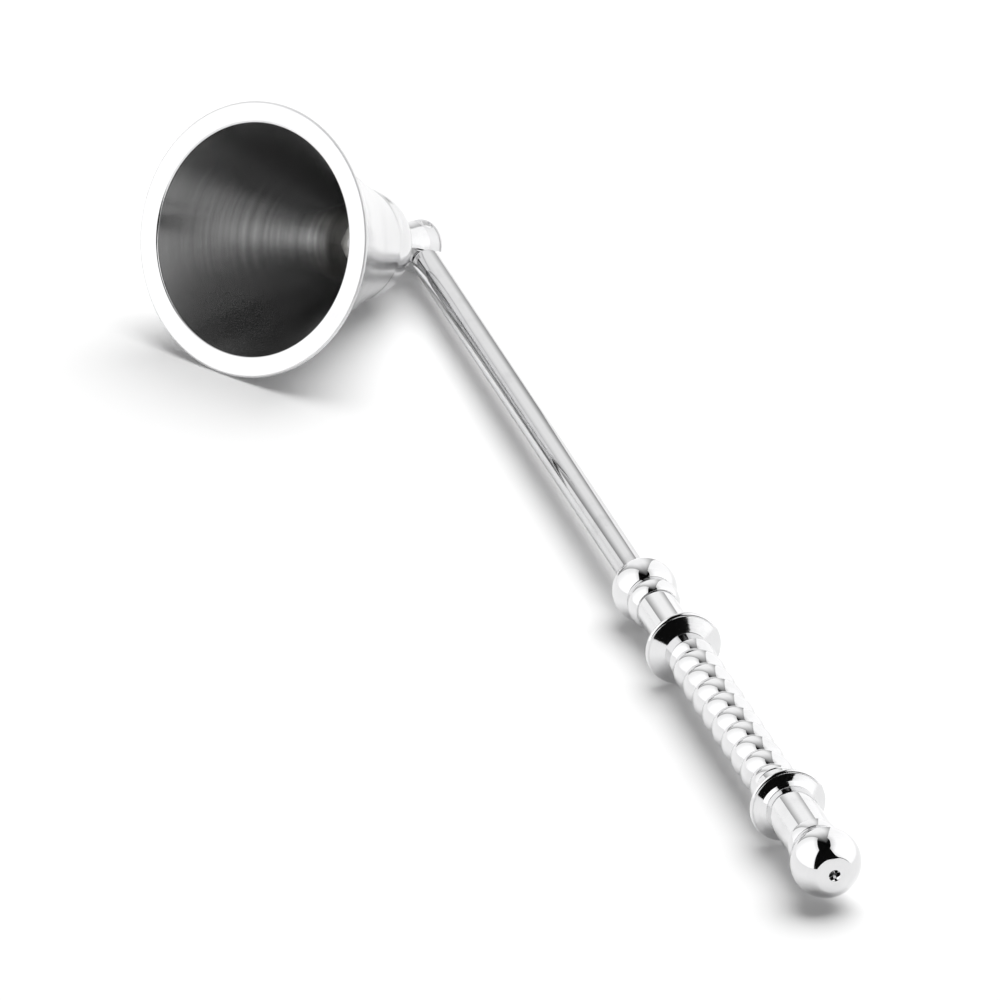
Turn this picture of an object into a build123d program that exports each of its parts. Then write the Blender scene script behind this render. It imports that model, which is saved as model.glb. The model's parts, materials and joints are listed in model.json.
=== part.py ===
from build123d import *
import math
import os

# Candle snuffer: a turned bell that swings on a riveted pin at the end of a long rod,
# with a turned handle stacked on the rod's threaded tang. Sizes are in millimetres.
# The snuffer lies on a table, as it is put down: on the bell's lip, the knob and the front flange.

# Bell, measured along its own axis from the mouth towards the crown
MOUTH_RADIUS = 16.0
MOUTH_ROUND = 0.4
LIP_WIDTH = 3.0
LIP_ROUND = 0.35
WAIST_HEIGHT = 24.0
WAIST_RADIUS = 8.0
SKIRT_HOLLOW = 0.75
CROWN_HEIGHT = 31.8
CROWN_SEAT_RADIUS = 3.7
CROWN_SWELL = 1.1
BELL_FLOOR_THICKNESS = 3.5
BELL_FLOOR_RADIUS = 4.3
INNER_HOLLOW = 0.75

# Knob on the crown, slotted as a fork for the rod's tongue
NECK_RADIUS = 2.9
NECK_STRAIGHT = 3.8
FLARE_RADIUS = 3.7
FLARE_HEIGHT = 8.3
FLARE_ROUND = 0.3
KNOB_DOME = 1.9
FORK_BASE = 2.1
TONGUE_CLEARANCE = 0.1

# Stud, washer and nut that hold the knob inside the bell
STUD_RADIUS = 1.5
STUD_HOLE_CLEARANCE = 0.1
THREAD_CLEARANCE = 0.02
STUD_TAIL = 0.6
WASHER_RADIUS = 3.2
WASHER_THICKNESS = 0.5
NUT_ACROSS_FLATS = 5.5
NUT_HEIGHT = 2.4

# Hinge
PIVOT_HEIGHT = 7.3
PIN_RADIUS = 0.9
PIN_REACH = 3.55
PIN_CHAMFER = 0.15
PIN_SEAT_CLEARANCE = 0.01
PIN_RUN_CLEARANCE = 0.05
REST_ANGLE = 56.84

# Rod, measured from the pivot along the handle
ROD_RADIUS = 2.0
TONGUE_THICKNESS = 2.0
TONGUE_LENGTH = 4.6
SHOULDER_ROUND = 1.3
TANG_RADIUS = 1.5
TANG_CLEARANCE = 0.05
ROD_SOCKET_CLEARANCE = 0.05
ROD_SOCKET_DEPTH = 2.2
TANG_TIP_GAP = 0.5

# Handle pieces in order from the bell, each length along the handle
FRONT_BALL_PLACE = 113.55
FRONT_BALL_RADIUS = 4.46
FRONT_BALL_BACK = 2.9
FRONT_BEAD_LENGTH = 3.5
FRONT_BEAD_RADIUS = 3.62
BEAD_EDGE_DROP = 0.6
FRONT_SLEEVE_LENGTH = 11.95
FRONT_SLEEVE_RADIUS = 2.89
FLANGE_THICKNESS = 0.8
FLANGE_SLOPE = 31.0
FLANGE_RADIUS = 5.3
FRONT_RING_LENGTH = 2.65
REAR_RING_LENGTH = 4.3
FRONT_RING_RADIUS = 2.98
REAR_RING_RADIUS = 3.3
GRIP_LENGTH = 41.4
GRIP_RADIUS = 3.38
TWIST_PITCH = 4.625
TWIST_DEPTH = 0.62
TWIST_FULLNESS = 2.0
TWIST_STEPS = 24
STEP_RADIUS = 3.96
STEP_HEIGHT = 0.6
REAR_SLEEVE_LENGTH = 10.5
REAR_SLEEVE_RADIUS = 3.52
REAR_BEAD_LENGTH = 2.1
REAR_BEAD_RADIUS = 3.72
REAR_BEAD_DROP = 0.1
END_BALL_RADIUS = 4.84
END_BALL_FRONT = 4.05
END_FACE_RADIUS = 2.6
END_FACE_RISE = 0.3
TANG_IN_BALL = 5.0
CENTRE_MARK_RADIUS = 0.85
CENTRE_MARK_DEPTH = 0.7
PILOT_RADIUS = 0.35
PILOT_DEPTH = 0.6


def turned(*edges):
    """A solid of revolution about Z from edges drawn in the XZ plane."""
    return revolve(make_face(Wire(list(edges))), Axis.Z)


def at(radius, height):
    return (radius, 0, height)


def rod_along_z(radius, bottom, top):
    length = top - bottom
    return Pos(0, 0, bottom) * Cylinder(radius, length, align=(Align.CENTER, Align.CENTER, Align.MIN))


def rod_along_x(radius, length, height):
    return Pos(0, 0, height) * Rot(0, 90, 0) * Cylinder(radius, length)


def bulged(start, end, bulge):
    """An arc in the XZ plane that leaves its chord by bulge, to the left of the way from start to end."""
    (r0, z0), (r1, z1) = start, end
    chord = math.hypot(r1 - r0, z1 - z0)
    middle_r = (r0 + r1) / 2 - bulge * (z1 - z0) / chord
    middle_z = (z0 + z1) / 2 + bulge * (r1 - r0) / chord
    return ThreePointArc(at(r0, z0), at(middle_r, middle_z), at(r1, z1))


def polyline(*points):
    return [Line(at(*a), at(*b)) for a, b in zip(points, points[1:])]


# Bell body, in its own frame: Z runs from the mouth to the crown and the pin lies along X
lip_radius = MOUTH_RADIUS + LIP_WIDTH
knob_foot = CROWN_HEIGHT
bell_floor = CROWN_HEIGHT - BELL_FLOOR_THICKNESS
pivot_height = knob_foot + PIVOT_HEIGHT
flare_height = knob_foot + FLARE_HEIGHT
slot_width = TONGUE_THICKNESS + 2 * TONGUE_CLEARANCE
washer_foot = bell_floor - WASHER_THICKNESS
nut_foot = washer_foot - NUT_HEIGHT
stud_foot = nut_foot - STUD_TAIL


def make_bell():
    stud_hole = STUD_RADIUS + STUD_HOLE_CLEARANCE
    lip_top = 2 * LIP_ROUND
    rim_inset = lip_radius - LIP_ROUND
    quarter = MOUTH_ROUND * (1 - math.sqrt(0.5))
    mouth_edge = ThreePointArc(
        at(MOUTH_RADIUS, MOUTH_ROUND),
        at(MOUTH_RADIUS + quarter, quarter),
        at(MOUTH_RADIUS + MOUTH_ROUND, 0),
    )
    lip_edge = ThreePointArc(at(rim_inset, 0), at(lip_radius, LIP_ROUND), at(rim_inset, lip_top))
    skirt = bulged((rim_inset, lip_top), (WAIST_RADIUS, WAIST_HEIGHT), SKIRT_HOLLOW)
    crown = bulged((WAIST_RADIUS, WAIST_HEIGHT), (CROWN_SEAT_RADIUS, CROWN_HEIGHT), -CROWN_SWELL)
    inside = bulged((BELL_FLOOR_RADIUS, bell_floor), (MOUTH_RADIUS, MOUTH_ROUND), -INNER_HOLLOW)
    return turned(
        mouth_edge,
        *polyline((MOUTH_RADIUS + MOUTH_ROUND, 0), (rim_inset, 0)),
        lip_edge,
        skirt,
        crown,
        *polyline(
            (CROWN_SEAT_RADIUS, CROWN_HEIGHT),
            (stud_hole, CROWN_HEIGHT),
            (stud_hole, bell_floor),
            (BELL_FLOOR_RADIUS, bell_floor),
        ),
        inside,
    )


def make_knob():
    neck_top = knob_foot + NECK_STRAIGHT
    round_middle = FLARE_RADIUS - FLARE_ROUND
    edge_in = round_middle + FLARE_ROUND / 2
    edge_rise = FLARE_ROUND * math.sqrt(0.75)
    dome_top = flare_height + KNOB_DOME
    flare_bow = (FLARE_RADIUS - NECK_RADIUS) / 4
    blank = turned(
        *polyline((0, knob_foot), (NECK_RADIUS, knob_foot), (NECK_RADIUS, neck_top)),
        bulged((NECK_RADIUS, neck_top), (edge_in, flare_height - edge_rise), -flare_bow),
        ThreePointArc(
            at(edge_in, flare_height - edge_rise),
            at(FLARE_RADIUS, flare_height),
            at(edge_in, flare_height + edge_rise),
        ),
        bulged((edge_in, flare_height + edge_rise), (0, dome_top), -KNOB_DOME / 5),
        *polyline((0, dome_top), (0, knob_foot)),
    )
    slot_foot = knob_foot + FORK_BASE
    slot = Pos(0, 0, slot_foot) * Box(
        slot_width, 4 * FLARE_RADIUS, dome_top, align=(Align.CENTER, Align.CENTER, Align.MIN)
    )
    pin_hole = rod_along_x(PIN_RADIUS + PIN_SEAT_CLEARANCE, 4 * FLARE_RADIUS, pivot_height)
    stud = rod_along_z(STUD_RADIUS, stud_foot, knob_foot)
    return Rot(0, 0, 90) * blank - slot - pin_hole + stud


def make_washer():
    ring = rod_along_z(WASHER_RADIUS, washer_foot, bell_floor)
    return ring - rod_along_z(STUD_RADIUS + STUD_HOLE_CLEARANCE, washer_foot, bell_floor)


def make_nut():
    hexagon = Pos(0, 0, nut_foot) * RegularPolygon(NUT_ACROSS_FLATS / 2, 6, major_radius=False)
    return extrude(hexagon, NUT_HEIGHT) - rod_along_z(STUD_RADIUS + THREAD_CLEARANCE, nut_foot, washer_foot)


def make_pin():
    pin = rod_along_x(PIN_RADIUS, 2 * PIN_REACH, pivot_height)
    return chamfer(pin.edges().filter_by(GeomType.CIRCLE), PIN_CHAMFER)


# Handle body, in its own frame: Z runs from the pivot to the end ball and the pin lies along X
rod_end = FRONT_BALL_PLACE - FRONT_BALL_RADIUS + ROD_SOCKET_DEPTH
front_ball_back = FRONT_BALL_PLACE + FRONT_BALL_BACK
front_bead_back = front_ball_back + FRONT_BEAD_LENGTH
front_sleeve_back = front_bead_back + FRONT_SLEEVE_LENGTH
flange_round = FLANGE_THICKNESS / 2
flange_middle = FLANGE_RADIUS - flange_round
flange_fall = math.tan(math.radians(FLANGE_SLOPE))
front_flange_back = front_sleeve_back + FLANGE_THICKNESS + (flange_middle - FRONT_RING_RADIUS) * flange_fall
front_ring_back = front_flange_back + FRONT_RING_LENGTH
grip_back = front_ring_back + GRIP_LENGTH
rear_ring_back = grip_back + REAR_RING_LENGTH
rear_flange_back = rear_ring_back + FLANGE_THICKNESS + (flange_middle - STEP_RADIUS) * flange_fall
step_back = rear_flange_back + STEP_HEIGHT
rear_sleeve_back = step_back + REAR_SLEEVE_LENGTH
rear_bead_back = rear_sleeve_back + REAR_BEAD_LENGTH
end_ball_place = rear_bead_back + END_BALL_FRONT
tang_end = rear_bead_back + TANG_IN_BALL
bore_radius = TANG_RADIUS + TANG_CLEARANCE


def make_rod():
    shank = rod_along_z(ROD_RADIUS, TONGUE_LENGTH, rod_end)
    shank = fillet(shank.edges().sort_by(Axis.Z)[0], SHOULDER_ROUND)
    flats = Box(TONGUE_THICKNESS, 4 * ROD_RADIUS, 4 * TONGUE_LENGTH)
    tongue_round = rod_along_z(ROD_RADIUS, 0, TONGUE_LENGTH + SHOULDER_ROUND) & flats
    eye = rod_along_x(ROD_RADIUS, TONGUE_THICKNESS, 0)
    pin_hole = rod_along_x(PIN_RADIUS + PIN_RUN_CLEARANCE, 4 * ROD_RADIUS, 0)
    tang = rod_along_z(TANG_RADIUS, rod_end, tang_end)
    return shank + tongue_round + eye + tang - pin_hole


def tang_bore(bottom, top):
    return rod_along_z(bore_radius, bottom, top)


def make_front_ball():
    ball = Pos(0, 0, FRONT_BALL_PLACE) * Sphere(FRONT_BALL_RADIUS)
    ball = split(ball, Plane.XY.offset(front_ball_back), keep=Keep.BOTTOM)
    ball_front = FRONT_BALL_PLACE - FRONT_BALL_RADIUS
    socket = rod_along_z(ROD_RADIUS + ROD_SOCKET_CLEARANCE, ball_front, rod_end)
    return ball - socket - tang_bore(rod_end, front_ball_back)


def make_bead(bottom, top, radius, drop):
    edge = radius - drop
    return turned(
        *polyline((bore_radius, bottom), (edge, bottom)),
        bulged((edge, bottom), (edge, top), -drop),
        *polyline((edge, top), (bore_radius, top), (bore_radius, bottom)),
    )


def make_sleeve(radius, bottom, top):
    return rod_along_z(radius, bottom, top) - tang_bore(bottom, top)


def make_flange(bottom, top, hub_radius):
    """A disc with a round rim, flat towards the bell and coned from its rim up to a hub on the other side."""
    rim_top = bottom + FLANGE_THICKNESS
    return turned(
        *polyline((bore_radius, bottom), (flange_middle, bottom)),
        ThreePointArc(
            at(flange_middle, bottom), at(FLANGE_RADIUS, bottom + flange_round), at(flange_middle, rim_top)
        ),
        *polyline((flange_middle, rim_top), (hub_radius, top), (bore_radius, top), (bore_radius, bottom)),
    )


def make_twisted_grip():
    """One rounded rib wound along the handle: its cross-section turns once in each pitch."""
    outline = []
    for step in range(TWIST_STEPS + 1):
        turn = step / TWIST_STEPS
        radius = GRIP_RADIUS - TWIST_DEPTH * abs(2 * turn - 1) ** TWIST_FULLNESS
        outline.append((radius * math.cos(2 * math.pi * turn), radius * math.sin(2 * math.pi * turn)))
    section = make_face(Wire([Spline(*outline)]))
    axis = Line((0, 0, 0), (0, 0, GRIP_LENGTH))
    guide = Helix(TWIST_PITCH, GRIP_LENGTH, 2 * GRIP_RADIUS, lefthand=True)
    rib = sweep(section, axis, binormal=guide)
    return Pos(0, 0, front_ring_back) * rib - tang_bore(front_ring_back, grip_back)


def make_rear_flange():
    disc = make_flange(rear_ring_back, rear_flange_back, STEP_RADIUS)
    step = turned(*polyline(
        (bore_radius, rear_flange_back),
        (STEP_RADIUS, rear_flange_back),
        (REAR_SLEEVE_RADIUS, step_back),
        (bore_radius, step_back),
        (bore_radius, rear_flange_back),
    ))
    return disc + step


def make_end_ball():
    """A ball whose outer end is turned down to a flatter face round its centre mark."""
    front_radius = math.sqrt(END_BALL_RADIUS ** 2 - END_BALL_FRONT ** 2)
    face_edge = end_ball_place + math.sqrt(END_BALL_RADIUS ** 2 - END_FACE_RADIUS ** 2)
    pole = face_edge + END_FACE_RISE
    ball = turned(
        *polyline((0, rear_bead_back), (front_radius, rear_bead_back)),
        ThreePointArc(
            at(front_radius, rear_bead_back),
            at(END_BALL_RADIUS, end_ball_place),
            at(END_FACE_RADIUS, face_edge),
        ),
        bulged((END_FACE_RADIUS, face_edge), (0, pole), -END_FACE_RISE / 4),
        *polyline((0, pole), (0, rear_bead_back)),
    )
    mark_floor = pole - CENTRE_MARK_DEPTH
    mark = Pos(0, 0, mark_floor) * Cone(
        PILOT_RADIUS, CENTRE_MARK_RADIUS, CENTRE_MARK_DEPTH, align=(Align.CENTER, Align.CENTER, Align.MIN)
    )
    pilot = rod_along_z(PILOT_RADIUS, mark_floor - PILOT_DEPTH, mark_floor)
    return ball - tang_bore(rear_bead_back, tang_end + TANG_TIP_GAP) - mark - pilot


bell_pieces = {
    "bell": make_bell(),
    "bell_knob": make_knob(),
    "knob_washer": make_washer(),
    "knob_nut": make_nut(),
    "hinge_pin": make_pin(),
}
handle_pieces = {
    "rod": make_rod(),
    "front_ball": make_front_ball(),
    "front_bead": make_bead(front_ball_back, front_bead_back, FRONT_BEAD_RADIUS, BEAD_EDGE_DROP),
    "front_sleeve": make_sleeve(FRONT_SLEEVE_RADIUS, front_bead_back, front_sleeve_back),
    "front_flange": make_flange(front_sleeve_back, front_flange_back, FRONT_RING_RADIUS),
    "front_grip_ring": make_sleeve(FRONT_RING_RADIUS, front_flange_back, front_ring_back),
    "twisted_grip": make_twisted_grip(),
    "rear_grip_ring": make_sleeve(REAR_RING_RADIUS, grip_back, rear_ring_back),
    "rear_flange": make_rear_flange(),
    "rear_sleeve": make_sleeve(REAR_SLEEVE_RADIUS, step_back, rear_sleeve_back),
    "rear_bead": make_bead(rear_sleeve_back, rear_bead_back, REAR_BEAD_RADIUS, REAR_BEAD_DROP),
    "end_ball": make_end_ball(),
}

# Lying pose: the table touches the round of the lip and the round of the knob's flare
lip_middle = lip_radius - LIP_ROUND
flare_middle = FLARE_RADIUS - FLARE_ROUND
span = math.hypot(flare_height - LIP_ROUND, lip_middle - flare_middle)
line_slope = math.atan2(lip_middle - flare_middle, flare_height - LIP_ROUND)
tilt = line_slope - math.asin((FLARE_ROUND - LIP_ROUND) / span)
pivot_z = (LIP_ROUND - pivot_height) * math.sin(tilt) + lip_middle * math.cos(tilt) + LIP_ROUND

# The front flange's round rim touches the table too, which sets the handle's small slope
flange_place = front_sleeve_back + flange_round
reach = math.hypot(flange_place, flange_middle)
slope = math.atan2(flange_middle, flange_place) + math.asin((flange_round - pivot_z) / reach)

# Seen from above, the handle turns away from the mouth until the two meet at the rest angle
lean = math.sin(tilt) * math.sin(slope)
swing = math.acos((math.cos(math.radians(REST_ANGLE)) - lean) / (math.cos(tilt) * math.cos(slope)))
mouth_way = Vector(0, -math.cos(tilt), math.sin(tilt))
handle_way = Vector(
    math.cos(slope) * math.sin(swing), -math.cos(slope) * math.cos(swing), math.sin(slope)
)
pin_way = handle_way.cross(mouth_way).normalized()
pivot = Vector(0, 0, pivot_z)

bell_place = Location(Plane(pivot + mouth_way * pivot_height, x_dir=pin_way, z_dir=mouth_way * -1))
handle_place = Location(Plane(pivot, x_dir=pin_way, z_dir=handle_way))
lying = {name: bell_place * piece for name, piece in bell_pieces.items()}
lying.update({name: handle_place * piece for name, piece in handle_pieces.items()})

# The origin is on the table, in the middle of the whole snuffer
box = Compound(list(lying.values())).bounding_box()
to_origin = Pos(-box.center().X, -box.center().Y, 0)

os.makedirs("parts", exist_ok=True)
for name, piece in lying.items():
    export_step(to_origin * piece, f"parts/{name}.step")

hinge = pivot + Vector(-box.center().X, -box.center().Y, 0)
mouth = hinge + mouth_way * pivot_height
for label, value in (("hinge", hinge), ("pin axis", pin_way), ("mouth", mouth), ("mouth axis", mouth_way),
                     ("handle axis", handle_way)):
    print(label, [round(c, 6) for c in (value.X, value.Y, value.Z)])
print("tilt", round(math.degrees(tilt), 3), "slope", round(math.degrees(slope), 3), "box", box.min, box.max)
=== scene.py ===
# %% [markdown]
# # A polished candle snuffer
#
# The snuffer is turned metal all through: a flared bell swings on a pin at the end of a long
# rod, and the handle is a row of balls, beads, discs and a rope-twist grip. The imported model
# gives the place of every piece. This script makes each piece again as a fine mesh, because a
# mirror finish shows every facet, and then gives it its finish, light and camera.

# %% Load the frame
import bmesh
import bpy
import json
import math
from mathutils import Matrix, Vector


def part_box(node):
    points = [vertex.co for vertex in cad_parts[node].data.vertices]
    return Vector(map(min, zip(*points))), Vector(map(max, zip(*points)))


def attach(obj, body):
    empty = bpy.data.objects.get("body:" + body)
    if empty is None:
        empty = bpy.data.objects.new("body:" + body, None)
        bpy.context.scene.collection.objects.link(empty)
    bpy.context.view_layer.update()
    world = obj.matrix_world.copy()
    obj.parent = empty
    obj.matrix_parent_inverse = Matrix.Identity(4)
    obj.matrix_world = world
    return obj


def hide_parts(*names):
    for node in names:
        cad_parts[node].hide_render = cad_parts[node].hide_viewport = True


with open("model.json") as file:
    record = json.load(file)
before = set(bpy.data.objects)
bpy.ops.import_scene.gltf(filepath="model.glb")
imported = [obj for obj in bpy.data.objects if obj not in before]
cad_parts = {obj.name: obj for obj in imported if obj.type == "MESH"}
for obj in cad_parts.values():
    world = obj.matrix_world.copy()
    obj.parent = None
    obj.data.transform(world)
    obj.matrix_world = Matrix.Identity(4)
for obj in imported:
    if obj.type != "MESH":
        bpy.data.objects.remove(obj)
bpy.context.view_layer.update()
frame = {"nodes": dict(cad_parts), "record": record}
MM = 0.001
print("nodes:", sorted(frame["nodes"]))

# %% [markdown]
# ## Two working frames
#
# Lathe work is easiest to describe along its own axis. The bell's frame has its origin in the
# middle of the mouth and Z towards the crown. The handle's frame has its origin on the hinge
# pin and Z towards the end ball. Both come from the hinge and the lip in the record, so the
# pieces land where the model has them.

# %% Frames of the bell and the handle
PIVOT_HEIGHT = 39.1

record = frame["record"]
hinge = record["behaviour"]["joints"][0]
lip_mount = record["mounts"][0]
pivot = Vector(hinge["pos_m"])
pin_way = Vector(hinge["axis"]).normalized()
mouth_way = Vector(lip_mount["axis"]).normalized()
ball_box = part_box("end_ball")
handle_way = ((Vector(ball_box[0]) + Vector(ball_box[1])) / 2 - pivot).normalized()


def working_frame(origin, x_way, z_way):
    y_way = z_way.cross(x_way).normalized()
    x_way = y_way.cross(z_way)
    turn = Matrix((x_way, y_way, z_way)).transposed().to_4x4()
    return Matrix.Translation(origin) @ turn


bell_frame = working_frame(pivot + mouth_way * PIVOT_HEIGHT * MM, pin_way, -mouth_way)
handle_frame = working_frame(pivot, pin_way, handle_way)
rest_angle = math.degrees(mouth_way.angle(handle_way))
print("mouth to handle:", round(rest_angle, 2), "degrees")

# %% [markdown]
# ## Camera
#
# The photograph has next to no perspective: the rod is as wide near the bell as at the handle.
# So the camera stands far off with a long lens. Its angles come from a fit to the ellipses of
# the lip and the discs and to the middles of the balls, and the hinge is put on the pixel where
# that fit has it.

# %% Camera
PHOTO_WIDTH = 1000
PIXELS_PER_MM = 7.2578
HINGE_PIXEL = (415.69, 245.89)
CAMERA_AZIMUTH = math.radians(37.744)
CAMERA_ELEVATION = math.radians(25.866)
CAMERA_ROLL = math.radians(1.634)
CAMERA_DISTANCE = 6.3
SENSOR_WIDTH = 36.0

flat_back = Vector((math.sin(CAMERA_AZIMUTH), -math.cos(CAMERA_AZIMUTH), 0))
flat_right = Vector((-flat_back.y, flat_back.x, 0))
back = flat_back * math.cos(CAMERA_ELEVATION) + Vector((0, 0, math.sin(CAMERA_ELEVATION)))
level_up = back.cross(flat_right)
right = flat_right * math.cos(CAMERA_ROLL) + level_up * math.sin(CAMERA_ROLL)
up = back.cross(right)
offset_x = (PHOTO_WIDTH / 2 - HINGE_PIXEL[0]) / PIXELS_PER_MM * MM
offset_y = (PHOTO_WIDTH / 2 - HINGE_PIXEL[1]) / PIXELS_PER_MM * MM
aim = pivot + right * offset_x - up * offset_y

camera_data = bpy.data.cameras.new("camera")
camera_data.sensor_width = SENSOR_WIDTH
camera_data.lens = CAMERA_DISTANCE * SENSOR_WIDTH / (PHOTO_WIDTH / PIXELS_PER_MM * MM)
camera_data.clip_end = 20.0
camera = bpy.data.objects.new("camera", camera_data)
bpy.context.scene.collection.objects.link(camera)
camera_turn = Matrix((right, up, back)).transposed().to_4x4()
camera.matrix_world = Matrix.Translation(aim + back * CAMERA_DISTANCE) @ camera_turn
bpy.context.scene.camera = camera
print("lens", round(camera_data.lens), "mm, aimed at", [round(c, 4) for c in aim])

# %% [markdown]
# ## The lathe
#
# A lathe spins a profile round an axis. Here the profile is a curve and a Geometry Nodes tree
# does the spinning: it sweeps the profile round a circle. The profile lists only the corners
# that the shape needs. An arc is a corner with a bulge, and each sharp corner gets the small
# round that polishing leaves, because that round is what catches the light on real metal.

# %% Profile helpers
ARC_STEP = math.radians(4.0)
EDGE_ROUND = 0.08
SHARP_TURN = math.radians(20.0)


def arc_points(start, end, bulge):
    """Points after start along an arc to end that leaves its chord by bulge, to the left of the way."""
    (r0, z0), (r1, z1) = start, end
    chord = math.hypot(r1 - r0, z1 - z0)
    half_turn = 2 * math.atan2(2 * abs(bulge), chord)
    radius = chord / 2 / math.sin(half_turn)
    side = math.copysign(1, bulge)
    middle = Vector(((r0 + r1) / 2, (z0 + z1) / 2))
    left = Vector((-(z1 - z0), r1 - r0)) / chord * side
    centre = middle - left * (radius * math.cos(half_turn))
    spoke = Vector((r0, z0)) - centre
    count = max(2, math.ceil(2 * half_turn / ARC_STEP))
    points = []
    for step in range(1, count + 1):
        turn = -side * 2 * half_turn * step / count
        points.append((
            centre.x + spoke.x * math.cos(turn) - spoke.y * math.sin(turn),
            centre.y + spoke.x * math.sin(turn) + spoke.y * math.cos(turn),
        ))
    return points


def profile(*corners, edge=EDGE_ROUND):
    """(radius, height) points in mm through corners, each (r, z) or, at the end of an arc, (r, z, bulge)."""
    points = [corners[0][:2]]
    for corner in corners[1:]:
        if len(corner) == 3 and corner[2]:
            points += arc_points(points[-1], corner[:2], corner[2])
        else:
            points.append(corner[:2])
    return eased(points, edge)


def eased(points, edge):
    """Rounds each sharp corner of a profile by an arc that starts about edge away from it."""
    if edge <= 0:
        return points
    closed = math.dist(points[0], points[-1]) < 1e-6
    ring = points[:-1] if closed else points
    made = []
    for k, here in enumerate(ring):
        if not closed and k in (0, len(ring) - 1):
            made.append(here)
            continue
        before, after = Vector(ring[k - 1]), Vector(ring[(k + 1) % len(ring)])
        here_v = Vector(here)
        arm_in, arm_out = before - here_v, after - here_v
        turn = math.pi - arm_in.angle(arm_out)
        if turn < SHARP_TURN:
            made.append(here)
            continue
        reach_in = min(edge, arm_in.length * 0.45)
        reach_out = min(edge, arm_out.length * 0.45)
        start = here_v + arm_in.normalized() * reach_in
        end = here_v + arm_out.normalized() * reach_out
        steps = max(2, math.ceil(turn / math.radians(12)))
        for step in range(steps + 1):
            t = step / steps
            made.append(tuple(start * (1 - t) ** 2 + here_v * 2 * t * (1 - t) + end * t ** 2))
    if closed:
        made.append(made[0])
    return made


print("a rounded square corner takes", len(profile((0, 0), (1, 0), (1, 1))) - 2, "points")

# %% Lathe tree
RAIL_RADIUS = 1.0


def lathe_tree():
    tree = bpy.data.node_groups.new("turned piece", "GeometryNodeTree")
    tree.interface.new_socket("Profile", in_out="INPUT", socket_type="NodeSocketGeometry")
    segments = tree.interface.new_socket("Segments", in_out="INPUT", socket_type="NodeSocketInt")
    segments.default_value = 192
    rail = tree.interface.new_socket("Rail radius", in_out="INPUT", socket_type="NodeSocketFloat")
    rail.default_value = RAIL_RADIUS
    tree.interface.new_socket("Finish", in_out="INPUT", socket_type="NodeSocketMaterial")
    tree.interface.new_socket("Piece", in_out="OUTPUT", socket_type="NodeSocketGeometry")
    nodes, links = tree.nodes, tree.links
    given = nodes.new("NodeGroupInput")
    result = nodes.new("NodeGroupOutput")
    circle = nodes.new("GeometryNodeCurvePrimitiveCircle")
    links.new(given.outputs["Segments"], circle.inputs["Resolution"])
    links.new(given.outputs["Rail radius"], circle.inputs["Radius"])
    sweep = nodes.new("GeometryNodeCurveToMesh")
    links.new(circle.outputs["Curve"], sweep.inputs["Curve"])
    links.new(given.outputs["Profile"], sweep.inputs["Profile Curve"])
    merge = nodes.new("GeometryNodeMergeByDistance")
    merge.inputs["Distance"].default_value = 1e-4
    links.new(sweep.outputs["Mesh"], merge.inputs["Geometry"])
    smooth = nodes.new("GeometryNodeSetShadeSmooth")
    links.new(merge.outputs["Geometry"], smooth.inputs["Geometry"])
    realize = nodes.new("GeometryNodeRealizeInstances")
    links.new(smooth.outputs["Geometry"], realize.inputs["Geometry"])
    finish = nodes.new("GeometryNodeSetMaterial")
    links.new(realize.outputs["Geometry"], finish.inputs["Geometry"])
    links.new(given.outputs["Finish"], finish.inputs["Material"])
    links.new(finish.outputs["Geometry"], result.inputs["Piece"])
    return tree


LATHE = lathe_tree()
print("lathe inputs:", [item.name for item in LATHE.interface.items_tree if item.in_out == "INPUT"])

# %% From a tree to a plain mesh
def socket_id(tree, name):
    items = tree.interface.items_tree
    return next(item.identifier for item in items if item.name == name and item.in_out == "INPUT")


def set_input(modifier, name, value):
    modifier[socket_id(modifier.node_group, name)] = value


def plain_mesh(source, name, place):
    """Turns an object with live modifiers into a plain mesh in metres, put in a working frame."""
    graph = bpy.context.evaluated_depsgraph_get()
    mesh = bpy.data.meshes.new_from_object(source.evaluated_get(graph))
    mesh.name = name
    mesh.transform(place @ Matrix.Scale(MM, 4))
    bpy.data.objects.remove(source)
    piece = bpy.data.objects.new(name, mesh)
    bpy.context.scene.collection.objects.link(piece)
    return piece


def point_outwards(piece):
    work = bmesh.new()
    work.from_mesh(piece.data)
    bmesh.ops.recalc_face_normals(work, faces=work.faces)
    work.to_mesh(piece.data)
    work.free()


def turn_piece(name, points, place, material, segments=192):
    """Spins a profile into a piece and puts it in a working frame."""
    curve = bpy.data.curves.new(name + "_profile", "CURVE")
    curve.dimensions = "3D"
    closed = math.dist(points[0], points[-1]) < 1e-6
    row = points[:-1] if closed else points
    spline = curve.splines.new("POLY")
    spline.points.add(len(row) - 1)
    for point, (r, z) in zip(spline.points, row):
        point.co = (r - RAIL_RADIUS, -z, 0, 1)
    spline.use_cyclic_u = closed
    source = bpy.data.objects.new(name + "_profile", curve)
    bpy.context.scene.collection.objects.link(source)
    modifier = source.modifiers.new("lathe", "NODES")
    modifier.node_group = LATHE
    set_input(modifier, "Segments", segments)
    set_input(modifier, "Rail radius", RAIL_RADIUS)
    set_input(modifier, "Finish", material)
    piece = plain_mesh(source, name, place)
    point_outwards(piece)
    return piece


print("lathe segments have the identifier", socket_id(LATHE, "Segments"))

# %% Edges and the model's nodes
SHARP_EDGE = math.radians(40.0)


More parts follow.
